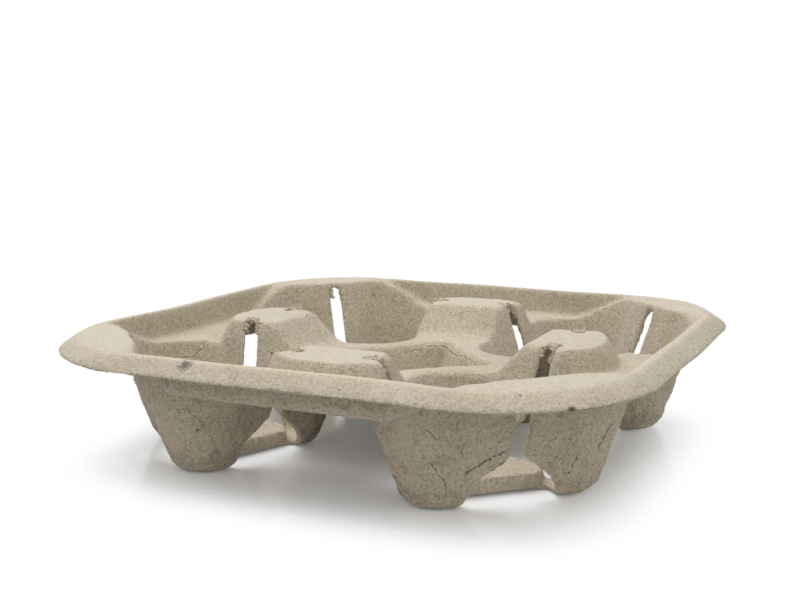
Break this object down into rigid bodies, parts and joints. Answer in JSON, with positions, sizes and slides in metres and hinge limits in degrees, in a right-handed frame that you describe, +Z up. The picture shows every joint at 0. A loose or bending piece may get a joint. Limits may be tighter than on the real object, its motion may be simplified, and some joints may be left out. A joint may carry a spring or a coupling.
{
  "type": "cup carrier tray",
  "caption": "Square moulded pulp tray with lobed cup wells, slotted gripping faces, humps between the wells and a flared rim.",
  "frame": {"origin": "middle of the footprint on the plane the feet stand on", "axes": "+Z up out of the wells, X and Y parallel to the rim's straight sides; the tray is the same along both"},
  "size_m": [0.215, 0.215, 0.043],
  "materials": {
    "pulp": "matte, fibrous"
  },
  "bodies": {
    "root": {"carrier_tray": "pulp"}
  },
  "joints": []
}
